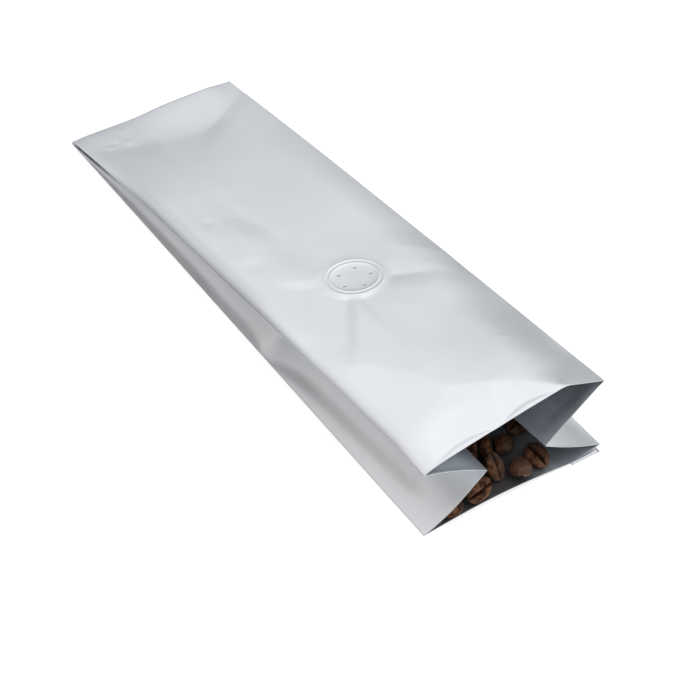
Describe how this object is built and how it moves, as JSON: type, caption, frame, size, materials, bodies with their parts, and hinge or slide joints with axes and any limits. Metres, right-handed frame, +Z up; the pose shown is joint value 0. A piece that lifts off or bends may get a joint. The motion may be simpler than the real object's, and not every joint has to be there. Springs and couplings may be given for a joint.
{
  "type": "coffee bag",
  "caption": "Side-gusset film bag lying on its back panel with an open mouth, a sealed far end, a fin seam, a one-way valve and roasted beans inside.",
  "frame": {"origin": "middle of the bounding box's floor face, on the surface the bag lies on", "axes": "+Y from the open mouth to the sealed end, +X to the right seen from the mouth, +Z up"},
  "size_m": [0.0802, 0.2726, 0.0411],
  "materials": {
    "film": "matte silver laminated film, darker blue-grey inside",
    "valve": "moulded translucent white plastic",
    "bean": "roasted bean, satin brown with a paler groove"
  },
  "bodies": {
    "root": {"film": "film", "valve": "valve", "bean_1": "bean", "bean_2": "bean", "bean_3": "bean", "bean_4": "bean", "bean_5": "bean", "bean_6": "bean", "bean_7": "bean", "bean_8": "bean", "bean_9": "bean"}
  },
  "joints": []
}
